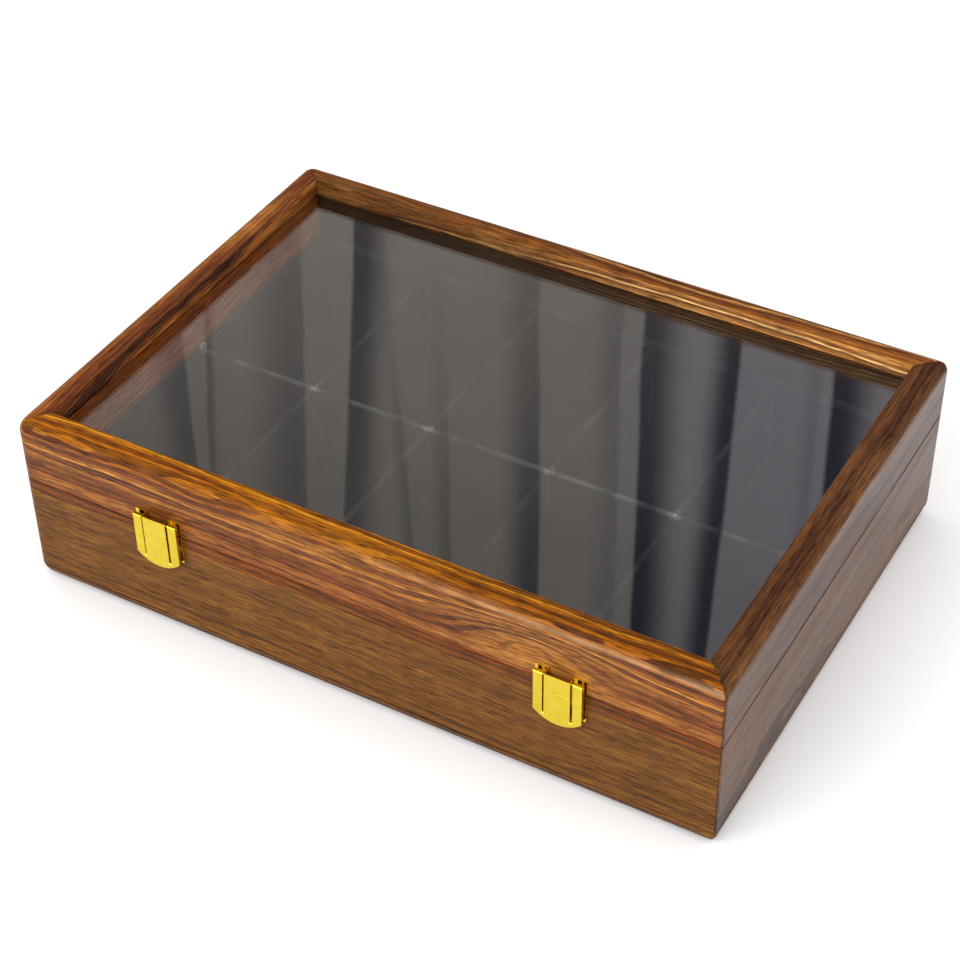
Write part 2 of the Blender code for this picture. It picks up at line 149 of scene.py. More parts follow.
def blend_colours(tree, factor, first, second, mode="MIX"):
    """The two colours mixed, each a socket or red, green and blue."""
    made = add_node(tree, "ShaderNodeMix", data_type="RGBA", blend_type=mode)
    sockets = {"Factor_Float": factor, "A_Color": first, "B_Color": second}
    for socket in made.inputs:
        if socket.identifier not in sockets:
            continue
        value = sockets[socket.identifier]
        if isinstance(value, bpy.types.NodeSocket):
            tree.links.new(value, socket)
        elif socket.type == "RGBA":
            socket.default_value = (*value, 1.0)
        else:
            socket.default_value = value
    return next(s for s in made.outputs if s.identifier == "Result_Color")


def colour_ramp(tree, factor, stops):
    """A socket of the colours at their places along 0 to 1. A stop is (place, red, green, blue)."""
    made = add_node(tree, "ShaderNodeValToRGB", {0: factor})
    elements = made.color_ramp.elements
    while len(elements) < len(stops):
        elements.new(0.5)
    for element, (place, *colour) in zip(elements, stops):
        element.position = place
        element.color = (*colour, 1.0)
    return made.outputs[0]


def smooth_step(tree, value, start, end, low=0.0, high=1.0):
    """low where the value is below start and high where it is above end, with a smooth rise between."""
    inputs = {"Value": value, "From Min": start, "From Max": end, "To Min": low, "To Max": high}
    made = add_node(tree, "ShaderNodeMapRange", inputs, interpolation_type="SMOOTHSTEP")
    return made.outputs[0]


def noise_value(tree, vector, scale, detail=2.0, roughness=0.5):
    """3D noise about 0.5, stretched by giving scale one number for each axis, in cycles per metre."""
    if not isinstance(scale, (int, float)):
        stretched = add_node(tree, "ShaderNodeVectorMath", {0: vector, 1: scale}, operation="MULTIPLY")
        vector = stretched.outputs[0]
        scale = 1.0
    inputs = {"Vector": vector, "Scale": scale, "Detail": detail, "Roughness": roughness}
    return add_node(tree, "ShaderNodeTexNoise", inputs).outputs[0]


def noise_along(tree, value, scale, detail=2.0, roughness=0.5):
    """1D noise about 0.5 of a single value."""
    inputs = {"W": value, "Scale": scale, "Detail": detail, "Roughness": roughness}
    return add_node(tree, "ShaderNodeTexNoise", inputs, noise_dimensions="1D").outputs[0]


def new_material(name, **inputs):
    """A material and its shader, with the shader's sockets set by name, underscores for spaces."""
    material = bpy.data.materials.new(name)
    material.use_nodes = True
    shader = material.node_tree.nodes["Principled BSDF"]
    for socket, value in inputs.items():
        shader.inputs[socket.replace("_", " ")].default_value = value
    return material, shader


def object_position(tree):
    """Each point's place in the piece's own axes, in metres."""
    return add_node(tree, "ShaderNodeTexCoord").outputs["Object"]


def roughen(tree, shader, height, depth):
    """Bump from a height of 0 to 1 and a depth in metres."""
    bump = add_node(tree, "ShaderNodeBump", {"Height": height, "Distance": depth, "Strength": 1.0})
    tree.links.new(bump.outputs[0], shader.inputs["Normal"])


def product(tree, *factors):
    """All the factors multiplied, each a socket or a number."""
    result = factors[0]
    for factor in factors[1:]:
        result = calculate(tree, "MULTIPLY", result, factor)
    return result


def scaled(tree, colour, amount):
    """A colour, given as a socket or as numbers, made lighter or darker by a socket."""
    return add_node(tree, "ShaderNodeVectorMath", {0: colour, "Scale": amount}, operation="SCALE").outputs[0]


def split(tree, vector):
    """The three parts of a vector or a colour."""
    return add_node(tree, "ShaderNodeSeparateXYZ", {0: vector}).outputs


def surface_direction(tree):
    """Which way the surface looks, in the piece's own axes, as three parts."""
    return split(tree, add_node(tree, "ShaderNodeTexCoord").outputs["Normal"])


def bump_at(tree, value, middle, reach):
    """1 where the value is middle, falling to 0 at a distance of reach."""
    away = calculate(tree, "ABSOLUTE", calculate(tree, "SUBTRACT", value, middle))
    return smooth_step(tree, away, 0.0, reach, low=1.0, high=0.0)


# ---------------------------------------------------------------- wood

def ring_distance(tree, place, pith):
    """How far each point lies from the log's heart, as the crooked rings of a real log have it."""
    axes = split(tree, place)
    across = calculate(tree, "SUBTRACT", axes[1], pith[0])
    above = calculate(tree, "SUBTRACT", axes[2], pith[1])
    squares = [calculate(tree, "POWER", side, 2.0) for side in (across, above)]
    ring = calculate(tree, "SQRT", calculate(tree, "ADD", *squares))
    for scale, amount in RING_WANDERINGS:
        ring = calculate(tree, "MULTIPLY_ADD", noise_value(tree, place, scale), amount, ring)
    return ring


def knot_at(tree, axes, knot):
    """1 at a knot in the front of a board, fading round it. knot holds its x, height and two sizes."""
    x, height, length, tall = knot
    along = calculate(tree, "DIVIDE", calculate(tree, "SUBTRACT", axes[0], x), length)
    above = calculate(tree, "DIVIDE", calculate(tree, "SUBTRACT", axes[2], height), tall)
    squares = [calculate(tree, "POWER", side, 2.0) for side in (along, above)]
    return calculate(tree, "EXPONENT", calculate(tree, "MULTIPLY", calculate(tree, "ADD", *squares), -1.0))


def joints_between_boards(tree, axes, parting_share):
    """1 in the seam between base and lid and in the mitres, where the wood is darkened."""
    parting = bump_at(tree, axes[2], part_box("lid_front_rail")[0].z, 2.4 * SEAM)
    corner = -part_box("lid_left_rail")[0]
    sides = [calculate(tree, "ABSOLUTE", axes[number]) for number in (0, 1)]
    mitre = bump_at(tree, calculate(tree, "SUBTRACT", *sides), corner.x - corner.y, SEAM)
    return calculate(tree, "MAXIMUM", product(tree, parting, parting_share), mitre)


def below_the_pane(tree, axes):
    """1 on the boards' inner faces below the pane and 0 on the rest of them."""
    walls = (-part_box("lid_left_rail")[1].x, -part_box("lid_front_rail")[1].y)
    inside = [smooth_step(tree, calculate(tree, "ABSOLUTE", axes[number]), wall + 0.0002, wall + 0.0006,
                          low=1.0, high=0.0) for number, wall in enumerate(walls)]
    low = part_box("glass_pane")[0].z
    return product(tree, *inside, smooth_step(tree, axes[2], low, low + 0.0005, low=1.0, high=0.0))


def wood_noises(tree, place, ring):
    """The noises that the wood's colours and its surface are made of, by name."""
    veins = calculate(tree, "SUBTRACT", noise_along(tree, ring, 420.0), 0.5)
    return {
        "streaks": noise_along(tree, ring, 300.0, detail=5.0, roughness=0.7),
        "zones": noise_along(tree, ring, 95.0),
        "veins": calculate(tree, "ABSOLUTE", veins),
        "patches": noise_value(tree, place, (7.0, 40.0, 40.0), detail=3.0),
        "fibres": noise_value(tree, place, (62.0, 1200.0, 1200.0), detail=3.0, roughness=0.65),
        "pores": noise_value(tree, place, (75.0, 1700.0, 1700.0), detail=1.0),
        "shimmer": noise_value(tree, place, (45.0, 14.0, 14.0), detail=3.0),
    }


def ring_colours(tree, noises, dark, body, light, figure):
    """The streaks, the dark zones of heartwood and the pale patches of a board."""
    stops = ((0.34, *dark), (0.45, *body), (0.55, *body), (0.68, *light))
    colour = colour_ramp(tree, noises["streaks"], stops)
    heart = [channel * share for channel, share in zip(body, HEART_SHARE)]
    zones = smooth_step(tree, noises["zones"], 0.54, 0.62, high=figure)
    colour = blend_colours(tree, zones, colour, heart)
    patches = smooth_step(tree, noises["patches"], 0.54, 0.74, high=0.75 * figure)
    return blend_colours(tree, patches, colour, light)


def with_band(tree, colour, noises, place, height, band):
    """The colour with a stripe of heartwood along the board."""
    low, high, stain = band
    edge = calculate(tree, "MULTIPLY_ADD", noise_value(tree, place, (7.0, 20.0, 20.0)), 0.006, height)
    inside = product(tree, smooth_step(tree, edge, low, low + BAND_EDGE),
                     smooth_step(tree, edge, high - BAND_EDGE, high, low=0.85, high=0.0))
    stained = scaled(tree, stain, smooth_step(tree, noises["streaks"], 0.3, 0.7, low=0.5, high=1.4))
    return blend_colours(tree, inside, colour, stained)


def with_veins(tree, colour, noises, dark, strength):
    """The colour with thin dark veins, which are weaker in the pale patches."""
    thin = product(tree, smooth_step(tree, noises["veins"], 0.01, 0.06, low=strength, high=0.0),
                   smooth_step(tree, noises["patches"], 0.38, 0.62, low=1.0, high=0.5))
    return blend_colours(tree, thin, colour, dark)


def fine_grain(tree, noises, x, ends):
    """How light each point is, from its fibres, its shimmer, its pores and its place along the case."""
    return product(tree, smooth_step(tree, noises["fibres"], 0.28, 0.72, low=0.50, high=1.50),
                   smooth_step(tree, noises["shimmer"], 0.30, 0.70, low=0.93, high=1.07),
                   smooth_step(tree, noises["pores"], 0.57, 0.66, low=1.0, high=0.38),
                   smooth_step(tree, x, -0.22, 0.22, low=ends[0], high=ends[1]))


def with_painted_face_light(tree, colour, axes, direction, top, front_painted_light):
    """The colour with painted light and shade on the faces that look up and painted light on those that look
    forwards.
    """
    upward = smooth_step(tree, direction[2], 0.45, 0.92)
    tint = blend_colours(tree, smooth_step(tree, axes[0], -0.20, 0.22), *top)
    tint = blend_colours(tree, upward, PLAIN, tint)
    colour = blend_colours(tree, 1.0, colour, tint, mode="MULTIPLY")
    forwards = product(tree, smooth_step(tree, direction[1], -0.9, -0.4, low=1.0, high=0.0),
                       smooth_step(tree, axes[0], -0.12, 0.08))
    tint = blend_colours(tree, forwards, PLAIN, front_painted_light)
    return blend_colours(tree, 1.0, colour, tint, mode="MULTIPLY")


def with_painted_edge_highlight(tree, colour, axes, direction, shimmer, pale_edge):
    """The colour with a painted highlight: a pale stretch, right of the middle, along the rounded edge."""
    painted_highlight = product(tree, bump_at(tree, direction[2], 0.40, 0.26), smooth_step(tree, axes[0], -0.03, 0.10),
                     smooth_step(tree, shimmer, 0.35, 0.60, low=0.35), pale_edge)
    return blend_colours(tree, painted_highlight, colour, EDGE_HIGHLIGHT)


def varnished_wood(name, dark, body, light, runs_along="X", shift=0.0, pith=(0.05, -0.10), veins=0.9,
                   figure=0.80, ends=(1.0, 1.0), top=(PLAIN, PLAIN), front_painted_light=PLAIN,
                   inner=(0.02, 0.01, 0.006), band=None, knot=None, pale_edge=0.0, seam=1.0, coat=0.33,
                   top_coat=0.05):
    """Varnished rosewood sawn from a log that runs along X or Y.

    dark, body and light are the colours of the streaks, the main wood and the pale wood. shift is how far
    along the log the board was sawn, and pith where the log's heart lies across the board, in metres. veins
    is how strong the thin veins are, and figure how strong the zones and patches. ends is how light the wood
    is at the left and right of the case, and top holds the painted light and shade of the upward faces
    there. front_painted_light is the painted light on the faces that look forwards, at the right. inner is
    the colour painted inside the case below the pane: painted shade where it is darker than the wood and
    painted light where it is lighter. band is a stripe of heartwood: its lower and upper height and its
    colour. knot is a knot's x, height and two sizes. pale_edge is how strong the painted highlight on the
    rounded edge is, and seam how dark the parting joint is. coat is the varnish's share of gloss on the
    upright faces, and top_coat that on the upward ones.
    """
    material, shader = new_material(name, IOR=1.5, Specular_IOR_Level=0.03, Coat_Roughness=0.10,
                                    Coat_IOR=1.5)
    tree = material.node_tree
    position = object_position(tree)
    axes = split(tree, position)
    turn = (0.0, 0.0, math.pi / 2 if runs_along == "Y" else 0.0)
    mapping = {"Vector": position, "Location": (shift, 0.0, 0.0), "Rotation": turn}
    place = add_node(tree, "ShaderNodeMapping", mapping).outputs[0]
    ring = ring_distance(tree, place, pith)
    if knot:
        swirl = knot_at(tree, axes, knot)
        ring = calculate(tree, "MULTIPLY_ADD", swirl, -KNOT_PULL, ring)

    noises = wood_noises(tree, place, ring)
    colour = ring_colours(tree, noises, dark, body, light, figure)
    if knot:
        colour = blend_colours(tree, product(tree, swirl, 0.55), colour, light)
    if band:
        colour = with_band(tree, colour, noises, place, axes[2], band)
    colour = with_veins(tree, colour, noises, dark, veins)
    grain = fine_grain(tree, noises, axes[0], ends)
    colour = scaled(tree, colour, grain)

    direction = surface_direction(tree)
    # painted light and shade, by the way each face looks
    colour = with_painted_face_light(tree, colour, axes, direction, top, front_painted_light)
    # a painted highlight along the rounded edge
    if pale_edge:
        colour = with_painted_edge_highlight(tree, colour, axes, direction, noises["shimmer"], pale_edge)
    # painted shade inside the case below the pane, and painted light there on the red boards
    colour = blend_colours(tree, below_the_pane(tree, axes), colour, scaled(tree, inner, grain))
    # darker along the parting joint and the mitres
    joint_line = joints_between_boards(tree, axes, seam)
    colour = blend_colours(tree, product(tree, joint_line, 0.75), colour, JOINT_DARK)
    tree.links.new(colour, shader.inputs["Base Color"])

    off_joints = calculate(tree, "SUBTRACT", 1.0, joint_line)
    varnish = smooth_step(tree, direction[2], 0.04, 0.40, low=coat, high=top_coat)
    uneven = smooth_step(tree, noises["streaks"], 0.30, 0.70, low=1.25, high=0.70)
    tree.links.new(product(tree, varnish, off_joints, uneven), shader.inputs["Coat Weight"])
    roughness = smooth_step(tree, noises["fibres"], 0.3, 0.7, low=0.5, high=0.7)
    tree.links.new(roughness, shader.inputs["Roughness"])
    roughen(tree, shader, calculate(tree, "SUBTRACT", noises["fibres"], noises["pores"]), 0.00005)
    return material


def board_woods():
    """The wood of each board, from the colour of its streaks, its main wood and its pale wood."""
    # Some boards also carry painted light and shade: on upward faces, on the back board's forward faces, on
    # the golden rail's rounded edge and below the pane.
    golden = varnished_wood("golden_rosewood", (0.050, 0.016, 0.012), (0.262, 0.083, 0.014),
                            (0.40, 0.168, 0.032), pith=(0.03, -0.05), shift=0.31, ends=(1.20, 1.25),
                            top=((1.16, 1.08, 0.24), (0.80, 0.72, 0.20)), knot=(0.118, 0.1080, 0.050, 0.0120),
                            band=(0.0700, 0.0870, (0.22, 0.051, 0.007)), pale_edge=0.38, figure=0.62, seam=0.3)
    olive = varnished_wood("olive_rosewood", (0.080, 0.030, 0.007), (0.182, 0.069, 0.010),
                           (0.26, 0.105, 0.016), pith=(0.12, -0.30), shift=0.9, veins=0.45, figure=0.25,
                           band=(0.0745, 0.0900, (0.18, 0.045, 0.006)), seam=0.3)
    bottom = varnished_wood("bottom_rosewood", (0.035, 0.012, 0.005), (0.185, 0.068, 0.010),
                            (0.37, 0.16, 0.026), pith=(0.0, -0.40), shift=1.7)
    red = varnished_wood("red_rosewood", (0.035, 0.010, 0.006), (0.275, 0.083, 0.015),
                         (0.50, 0.190, 0.035), runs_along="Y", pith=(0.20, 0.05), shift=2.3,
                         inner=(0.46, 0.11, 0.014))
    brown = varnished_wood("brown_rosewood", (0.035, 0.012, 0.007), (0.138, 0.049, 0.015),
                           (0.28, 0.12, 0.034), runs_along="Y", pith=(-0.20, -0.03), shift=3.1, seam=1.25,
                           top=((0.80, 0.80, 0.80), (0.80, 0.80, 0.80)), figure=0.6, coat=0.76, top_coat=0.06)
    back = varnished_wood("back_rosewood", (0.035, 0.010, 0.005), (0.180, 0.056, 0.009),
                          (0.38, 0.19, 0.05), pith=(0.21, 0.03), shift=4.7, ends=(0.85, 1.45),
                          front_painted_light=(2.4, 3.1, 4.0))
    return {
        "lid_front_rail": golden,
        "lid_back_rail": back,
        "lid_left_rail": red,
        "lid_right_rail": brown,
        "base_front_board": olive,
        "base_back_board": back,
        "base_left_board": red,
        "base_right_board": brown,
        "bottom_board": bottom,
    }


# ---------------------------------------------------------------- the other materials

def polished_brass():
    """Brass plate with faint clouds of tarnish and fine scratches."""
    material, shader = new_material("polished_brass", Metallic=1.0)
    tree = material.node_tree
    place = object_position(tree)
    clouds = noise_value(tree, place, 120.0, detail=3.0)
    scratches = noise_value(tree, place, (900.0, 900.0, 9000.0), detail=2.0)
    colour = colour_ramp(tree, clouds, ((0.35, 0.95, 0.70, 0.050), (0.65, 1.0, 0.78, 0.072)))
    tree.links.new(colour, shader.inputs["Base Color"])
    tree.links.new(smooth_step(tree, clouds, 0.3, 0.7, low=0.08, high=0.15), shader.inputs["Roughness"])
    roughen(tree, shader, scratches, 0.0000015)
    return material


def window_glass():
    """Float glass with the faint waves and wiping smears of a used pane."""
    material, shader = new_material("window_glass", IOR=1.5, Transmission_Weight=1.0,
                                    Base_Color=(0.965, 0.985, 0.975, 1.0))
    tree = material.node_tree
    place = object_position(tree)
    smears = noise_value(tree, place, (5.0, 30.0, 30.0), detail=4.0)
    tree.links.new(smooth_step(tree, smears, 0.52, 0.80, low=0.0, high=0.008), shader.inputs["Roughness"])
    roughen(tree, shader, noise_value(tree, place, 9.0, detail=1.0), 0.000003)
    return material


def velvet(name, colour, pale_edge, top):
    """Short dark pile, brushed this way and that, paler along the top edges, partly from wear and partly as
    a painted sheen, and with pale flecks of wear where dividers cross.

    pale_edge is the colour of the pile along the top edges, and top the height of the top edges.
    """
    material, shader = new_material(name, Roughness=0.95, Specular_IOR_Level=0.10, Sheen_Weight=0.05,
                                    Sheen_Roughness=0.35, Sheen_Tint=(0.75, 0.74, 0.80, 1.0))
    tree = material.node_tree
    place = object_position(tree)
    axes = split(tree, place)
    brushed = noise_value(tree, place, 38.0, detail=3.0)
    pile = noise_value(tree, place, 1500.0, detail=1.0)
    shade = product(tree, smooth_step(tree, brushed, 0.3, 0.7, low=0.75, high=1.35),
                    smooth_step(tree, pile, 0.3, 0.7, low=0.94, high=1.06))
    from_middle = calculate(tree, "ABSOLUTE", axes[1])
    # the pile is paler along the top edges, partly from wear and partly as a painted sheen, most on the long
    # divider
    long_divider = smooth_step(tree, from_middle, 0.0026, 0.0040, low=0.75, high=0.22)
    along_top = smooth_step(tree, axes[2], top - 0.0022, top - 0.0004)
    edge = product(tree, along_top, long_divider,
                   smooth_step(tree, brushed, 0.40, 0.62, low=0.25, high=1.0))
    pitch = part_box("long_divider")[1].x * 2 / COLUMNS
    crossing = bump_at(tree, calculate(tree, "PINGPONG", axes[0], pitch), pitch / 2, 0.006)
    flecks = product(tree, crossing, bump_at(tree, axes[1], 0.0, 0.006),
                     smooth_step(tree, pile, 0.50, 0.62), along_top)
    tinted = blend_colours(tree, edge, scaled(tree, colour, shade), scaled(tree, pale_edge, shade))
    tinted = blend_colours(tree, flecks, tinted, (0.70, 0.68, 0.62))
    tree.links.new(tinted, shader.inputs["Base Color"])
    roughen(tree, shader, pile, 0.000008)
    return material


def grey_card():
    """Grey pulp board."""
    material, shader = new_material("grey_card", Roughness=0.9)
    tree = material.node_tree
    pulp = noise_value(tree, object_position(tree), 900.0, detail=4.0)
    colour = colour_ramp(tree, pulp, ((0.3, 0.055, 0.052, 0.048), (0.7, 0.10, 0.095, 0.088)))
    tree.links.new(colour, shader.inputs["Base Color"])
    roughen(tree, shader, pulp, 0.0001)
    return material


# ---------------------------------------------------------------- the CAD parts

def soften(node, width):
    """Rounds a CAD part's sharp edges by width and shades it smooth, with modifiers only."""
    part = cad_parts[node]
    weld = part.modifiers.new("weld", "WELD")
    weld.merge_threshold = 0.00001
    merge = part.modifiers.new("merge_flat_faces", "DECIMATE")
    merge.decimate_type = "DISSOLVE"
    merge.angle_limit = math.radians(0.6)
    bevel = part.modifiers.new("edges", "BEVEL")
    bevel.width = width
    bevel.segments = 2
    bevel.limit_method = "ANGLE"
    bevel.angle_limit = math.radians(30)
    normals = part.modifiers.new("normals", "WEIGHTED_NORMAL")
    normals.keep_sharp = False
    for face in part.data.polygons:
        face.use_smooth = True


def finish_cad_parts():
    """Gives every CAD part that stays its edges and its material."""
    woods = board_woods()
    brass = polished_brass()
    glass = window_glass()
    for name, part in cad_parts.items():
        if name in woods:
            soften(name, BOARD_EDGE)
            part.material_slots[0].material = woods[name]
        elif name == "glass_pane":
            part.material_slots[0].material = glass
        elif name.startswith(("hinge", "latch")):
            soften(name, METAL_EDGE)
            part.material_slots[0].material = brass


# ---------------------------------------------------------------- cloth over card

def add_piece(name, mesh_builder, material, body="base"):
    """A piece from a bmesh, with its material, riding on a body."""
    mesh = bpy.data.meshes.new(name)
    mesh_builder.to_mesh(mesh)
    mesh_builder.free()
    mesh.shade_smooth()
    piece = bpy.data.objects.new(name, mesh)
    bpy.context.scene.collection.objects.link(piece)
    mesh.materials.append(material)
    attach(piece, body)
    return piece


def spaced(start, end, step):
    """Places from start to end, both included, no further apart than step."""
    count = max(1, math.ceil((end - start) / step))
    return [start + (end - start) * index / count for index in range(count + 1)]


def with_close_ends(start, end, step, margin):
    """Places from start to end that lie closer within margin of either end."""
    rise = [margin * (1 - math.cos(math.pi / 2 * index / 4)) for index in range(4)]
    middle = spaced(start + margin, end - margin, step)
    return [start + r for r in rise] + middle + [end - r for r in reversed(rise)]


def swelling(place, borders):
    """0 at the borders of a compartment and 1 over most of its middle."""
    inside = next(i for i in range(len(borders) - 1) if place <= borders[i + 1] or i == len(borders) - 2)
    low, high = borders[inside], borders[inside + 1]
    across = min(max((place - low) / (high - low), 0.0), 1.0)
    return 1.0 - abs(2.0 * across - 1.0) ** 6


def lining(name, node, facing, borders, material):
    """Cloth stretched over a card in place of a CAD lining, swelling a little in each compartment.

    facing is the axis and the sign of the way the lining looks. borders holds, for the two other axes in
    order, where the compartments begin and end.
    """
    low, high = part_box(node)
    axis, sign = facing
    first, second = [a for a in range(3) if a != axis]
    back = low[axis] if sign > 0 else high[axis]
    thick = high[axis] - low[axis]
    us = with_close_ends(low[first], high[first], CLOTH_STEP, LINING_ROUND)
    vs = with_close_ends(low[second], high[second], CLOTH_STEP, LINING_ROUND)

    def height(u, v):
        near = min(u - low[first], high[first] - u, v - low[second], high[second] - v, LINING_ROUND)
        rounded = thick - LINING_ROUND + math.sqrt(max(LINING_ROUND ** 2 - (LINING_ROUND - near) ** 2, 0.0))
        if near <= 0.0:
            return 0.0
        crown = CROWN * swelling(u, borders[0]) * swelling(v, borders[1])
        ripple = RIPPLE * noise.noise(Vector((u * 60, v * 60, 10.0 * axis))) * near / LINING_ROUND
        return rounded + crown + ripple

    bm = bmesh.new()
    rows = []
    for u in us:
        row = []
        for v in vs:
            point = Vector((0.0, 0.0, 0.0))
            point[first], point[second], point[axis] = u, v, back + sign * height(u, v)
            row.append(bm.verts.new(point))
        rows.append(row)
    for near_row, far_row in zip(rows, rows[1:]):
        for index in range(len(vs) - 1):
            bm.faces.new((near_row[index], far_row[index], far_row[index + 1], near_row[index + 1]))
    bmesh.ops.holes_fill(bm, edges=[e for e in bm.edges if e.is_boundary])
    bmesh.ops.recalc_face_normals(bm, faces=bm.faces)
    piece = add_piece(name, bm, material)
    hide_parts(node)
    return piece


def linings(cloth):
    """The five lining cloths, each swelling in the compartments that it forms."""
    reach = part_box("long_divider")[1].x
    columns = [-reach + 2 * reach * column / COLUMNS for column in range(COLUMNS + 1)]
    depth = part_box("cross_divider_1")[1].y
    rows = [-depth, 0.0, depth]
    heights = [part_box("front_lining")[0].z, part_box("front_lining")[1].z]
    lining("floor_cloth", "floor_lining", (2, 1), (columns, rows), cloth)
    lining("front_cloth", "front_lining", (1, 1), (columns, heights), cloth)
    lining("back_cloth", "back_lining", (1, -1), (columns, heights), cloth)
    lining("left_cloth", "left_lining", (0, 1), (rows, heights), cloth)
    lining("right_cloth", "right_lining", (0, -1), (rows, heights), cloth)


def cover_profile(width, low, middle, high):
    """Round the outside of a divider's cloth from one foot over the top to the other: (across, height)."""
    radius = width / 2
    side = spaced(low, middle, 0.008)[:-1] + spaced(middle, high - radius, 0.008)
    top = [(-radius * math.cos(math.pi * i / 8), high - radius + radius * math.sin(math.pi * i / 8))
           for i in range(1, 8)]
    return [(-radius, z) for z in side] + top + [(radius, z) for z in reversed(side)]


def divider_cover(name, node, along, notches, notch_from_top, cloth):
    """A strip of cloth folded over a divider's board, cut away where another divider crosses it."""
    low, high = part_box(node)
    across = 1 - along
    width = high[across] - low[across]
    centre = (high[across] + low[across]) / 2
    middle = (low.z + high.z) / 2
    slot = width / 2 + COVER_PLAY
    cuts = sorted([low[along], high[along]] + [n - slot for n in notches] + [n + slot for n in notches])
    places = [low[along]]
    for start, end in zip(cuts, cuts[1:]):
        places += spaced(start, end, CLOTH_STEP)[1:]
    profile = cover_profile(width, low.z, middle, high.z)

    bm = bmesh.new()
    rows = []
    for place in places:
        row = []
        for offset, height in profile:
            slack = SLACK * (1 + noise.noise(Vector((place * 45, height * 70, offset * 300))))
            point = Vector((0.0, 0.0, height))
            point[along] = place
            point[across] = centre + offset * (1 - slack / width * 2)
            row.append(bm.verts.new(point))
        rows.append(row)
    for number, (near_row, far_row) in enumerate(zip(rows, rows[1:])):
        between = (places[number] + places[number + 1]) / 2
        crossing = any(abs(between - notch) < slot for notch in notches)
        for index in range(len(profile) - 1):
            height = (profile[index][1] + profile[index + 1][1]) / 2
            if crossing and (height > middle) == notch_from_top:
                continue
            bm.faces.new((near_row[index], near_row[index + 1], far_row[index + 1], far_row[index]))
    bmesh.ops.delete(bm, geom=[v for v in bm.verts if not v.link_faces], context="VERTS")
    bmesh.ops.recalc_face_normals(bm, faces=bm.faces)
    piece = add_piece(name, bm, cloth)
    thickness = piece.modifiers.new("cloth", "SOLIDIFY")
    thickness.thickness = COVER
    thickness.offset = -1.0
    return piece


def divider_board(name, node, along, notches, notch_from_top, card):
    """The stiff card inside a divider, with a slot for each divider that crosses it."""
    low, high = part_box(node)
    across = 1 - along
    half_width = (high[across] - low[across]) / 2 - 1.4 * COVER
    centre = (high[across] + low[across]) / 2
    top = high.z - (high[across] - low[across]) / 2
    middle = (low.z + high.z) / 2
    slot = half_width + CARD_PLAY
    start, end = low[along] + CARD_INSET, high[along] - CARD_INSET
    notched, plain = (top, low.z) if notch_from_top else (low.z, top)
    outline = [(start, plain), (start, notched)]
    for notch in sorted(notches):
        outline += [(notch - slot, notched), (notch - slot, middle)]
        outline += [(notch + slot, middle), (notch + slot, notched)]
    outline += [(end, notched), (end, plain)]

    bm = bmesh.new()
    ring = []
    for place, height in outline:
        point = Vector((0.0, 0.0, height))
        point[along] = place
        point[across] = centre - half_width
        ring.append(bm.verts.new(point))
    face = bm.faces.new(ring)
    grown = bmesh.ops.extrude_face_region(bm, geom=[face])["geom"]
    move = Vector((0.0, 0.0, 0.0))
    move[across] = 2 * half_width
    bmesh.ops.translate(bm, verts=[g for g in grown if isinstance(g, bmesh.types.BMVert)], vec=move)
    bmesh.ops.recalc_face_normals(bm, faces=bm.faces)
    piece = add_piece(name, bm, card)
    piece.data.set_sharp_from_angle(angle=math.radians(30))
    return piece


def dividers(cloth, card):
    """Each divider as a card board and the cloth folded over it."""
    crossings = [sum(corner.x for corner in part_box(f"cross_divider_{n}")) / 2 for n in range(1, COLUMNS)]
    plans = [("long_divider", 0, crossings, False)]
    plans += [(f"cross_divider_{n}", 1, [0.0], True) for n in range(1, COLUMNS)]
    for node, along, notches, notch_from_top in plans:
        cover = divider_cover(f"{node}_cloth", node, along, notches, notch_from_top, cloth)
        divider_board(f"{node}_card", node, along, notches, notch_from_top, card)
        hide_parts(node)


# ---------------------------------------------------------------- the room

def floor():
    """A wide pale floor, paler to the camera than in the light that it throws back."""
    bm = bmesh.new()
    bmesh.ops.create_grid(bm, x_segments=1, y_segments=1, size=FLOOR_SIZE / 2)
    mesh = bpy.data.meshes.new("floor")
    bm.to_mesh(mesh)
    bm.free()
    ground = bpy.data.objects.new("floor", mesh)
    ground.location.z = -FLOOR_DROP
    bpy.context.scene.collection.objects.link(ground)
    material, shader = new_material("pale_floor", Roughness=1.0, Specular_IOR_Level=0.0)
    tree = material.node_tree
    seen = add_node(tree, "ShaderNodeLightPath").outputs["Is Camera Ray"]
    colour = blend_colours(tree, seen, (0.70, 0.70, 0.70), (0.97, 0.97, 0.97))
    tree.links.new(colour, shader.inputs["Base Color"])
    mesh.materials.append(material)


def curtain():
    """A hanging curtain behind the case, high enough to stay out of every view, for the glass to mirror."""
    bm = bmesh.new()
    columns = spaced(CURTAIN_LEFT, CURTAIN_RIGHT, CURTAIN_STEP)
    pairs = [[bm.verts.new((x, CURTAIN_Y, z)) for z in (CURTAIN_LOW, CURTAIN_HIGH)] for x in columns]
    for (a, b), (c, d) in zip(pairs, pairs[1:]):
        bm.faces.new((a, c, d, b))
    mesh = bpy.data.meshes.new("curtain")
    bm.to_mesh(mesh)
    bm.free()
    cloth = bpy.data.objects.new("curtain", mesh)
    bpy.context.scene.collection.objects.link(cloth)
    mesh.materials.append(curtain_material())


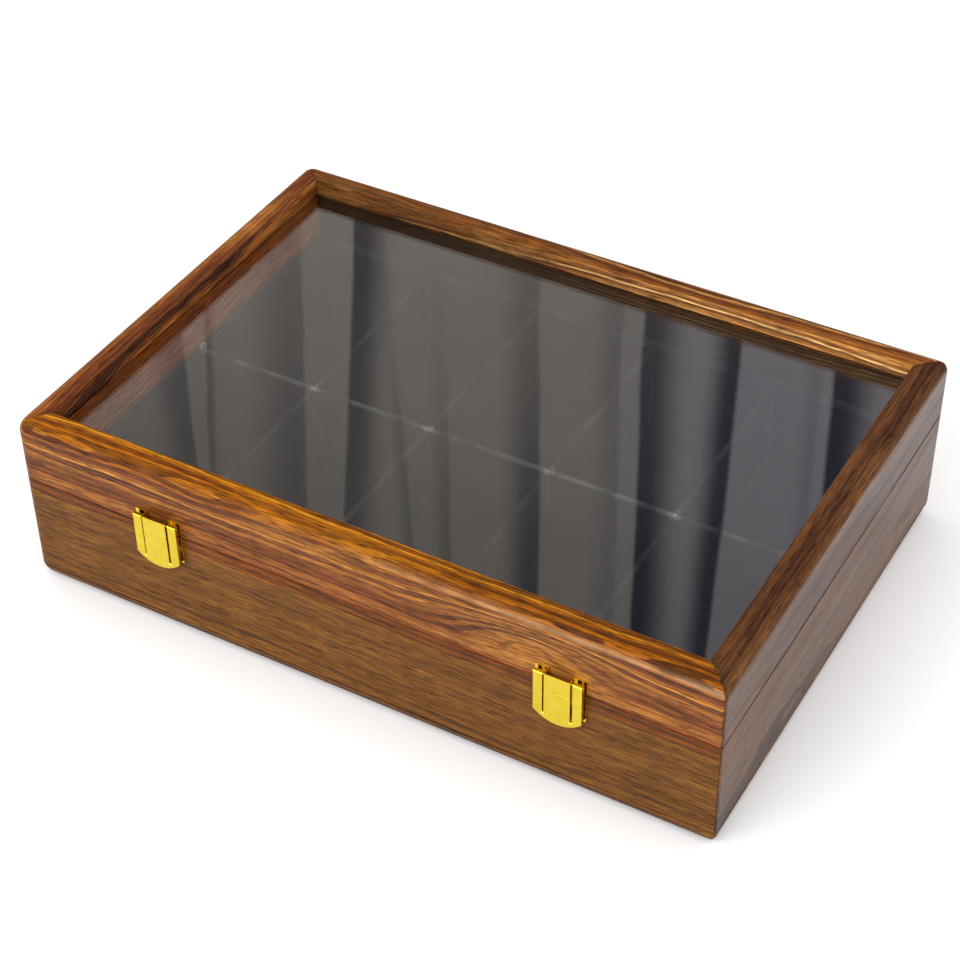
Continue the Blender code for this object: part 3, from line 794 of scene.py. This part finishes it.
def fold(tree, x, height, edge, lean, reach, share_above, share_below):
    """How shaded each point of the curtain is by one fold: a sharp edge and a shade that fades from it.

    edge is the sharp edge's x at the height of 2 m and lean its slope. reach is how wide the shade is, to
    the right of the edge, or to its left when negative. The shares are its strength above and below.
    """
    away = calculate(tree, "SUBTRACT", x, edge)
    away = calculate(tree, "MULTIPLY_ADD", calculate(tree, "SUBTRACT", height, 2.0), -lean, away)
    away = calculate(tree, "MULTIPLY", away, math.copysign(1.0, reach))
    shade = product(tree, smooth_step(tree, away, -0.006, 0.006),
                    smooth_step(tree, away, 0.2 * abs(reach), abs(reach), low=1.0, high=0.0))
    return product(tree, shade, smooth_step(tree, height, 1.6, 2.4, low=share_below, high=share_above))


def curtain_material():
    """Pale cloth in daylight, with the shades of its folds."""
    material = bpy.data.materials.new("curtain")
    material.use_nodes = True
    tree = material.node_tree
    tree.nodes.clear()
    place = object_position(tree)
    axes = split(tree, place)
    sway = calculate(tree, "SUBTRACT", noise_value(tree, place, (1.5, 1.5, 2.2)), 0.5)
    x = calculate(tree, "MULTIPLY_ADD", sway, 0.020, axes[0])
    colour = blend_colours(tree, smooth_step(tree, x, -1.0, -0.6), CURTAIN_WARM, CURTAIN_COOL)
    colour = scaled(tree, colour, smooth_step(tree, axes[2], 1.90, 2.42, low=1.0, high=0.84))
    for shape in CURTAIN_FOLDS:
        colour = blend_colours(tree, fold(tree, x, axes[2], *shape), colour, CURTAIN_DEEP)
    light = add_node(tree, "ShaderNodeEmission", {"Color": colour, "Strength": 1.0})
    output = add_node(tree, "ShaderNodeOutputMaterial")
    tree.links.new(light.outputs[0], output.inputs["Surface"])
    return material


def lights():
    """A pale sky all round, a large soft lamp before the case and a weaker one to its right."""
    world = bpy.data.worlds.new("studio")
    bpy.context.scene.world = world
    world.use_nodes = True
    world.node_tree.nodes["Background"].inputs["Color"].default_value = (1.0, 1.0, 1.0, 1.0)
    world.node_tree.nodes["Background"].inputs["Strength"].default_value = SKY
    for name, place, size, power in (("key", KEY_PLACE, KEY_SIZE, KEY_POWER),
                                     ("side", SIDE_PLACE, SIDE_SIZE, SIDE_POWER)):
        lamp = bpy.data.lights.new(name, "AREA")
        lamp.shape = "RECTANGLE"
        lamp.size, lamp.size_y = size
        lamp.energy = power
        light = bpy.data.objects.new(name, lamp)
        light.location = place
        light.rotation_euler = (CAMERA_TARGET - place).to_track_quat("-Z", "Y").to_euler()
        bpy.context.scene.collection.objects.link(light)


def camera():
    """The camera, turned about the place that it looks at."""
    lens = bpy.data.cameras.new("camera")
    lens.lens = LENS
    lens.sensor_width = SENSOR
    eye = bpy.data.objects.new("camera", lens)
    turn = (Matrix.Rotation(CAMERA_AZIMUTH, 4, "Z") @ Matrix.Rotation(math.pi / 2 - CAMERA_ELEVATION, 4, "X")
            @ Matrix.Rotation(CAMERA_ROLL, 4, "Z"))
    away = turn.to_3x3() @ Vector((0.0, 0.0, CAMERA_DISTANCE))
    eye.matrix_world = Matrix.Translation(CAMERA_TARGET + away) @ turn
    bpy.context.scene.collection.objects.link(eye)
    bpy.context.scene.camera = eye
    bpy.context.scene.view_settings.view_transform = "Standard"


camera()
finish_cad_parts()
black_velvet = velvet("black_velvet", (0.006, 0.006, 0.0073), (0.10, 0.095, 0.09),
                      top=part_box("long_divider")[1].z)
linings(black_velvet)
dividers(black_velvet, grey_card())
floor()
curtain()
lights()
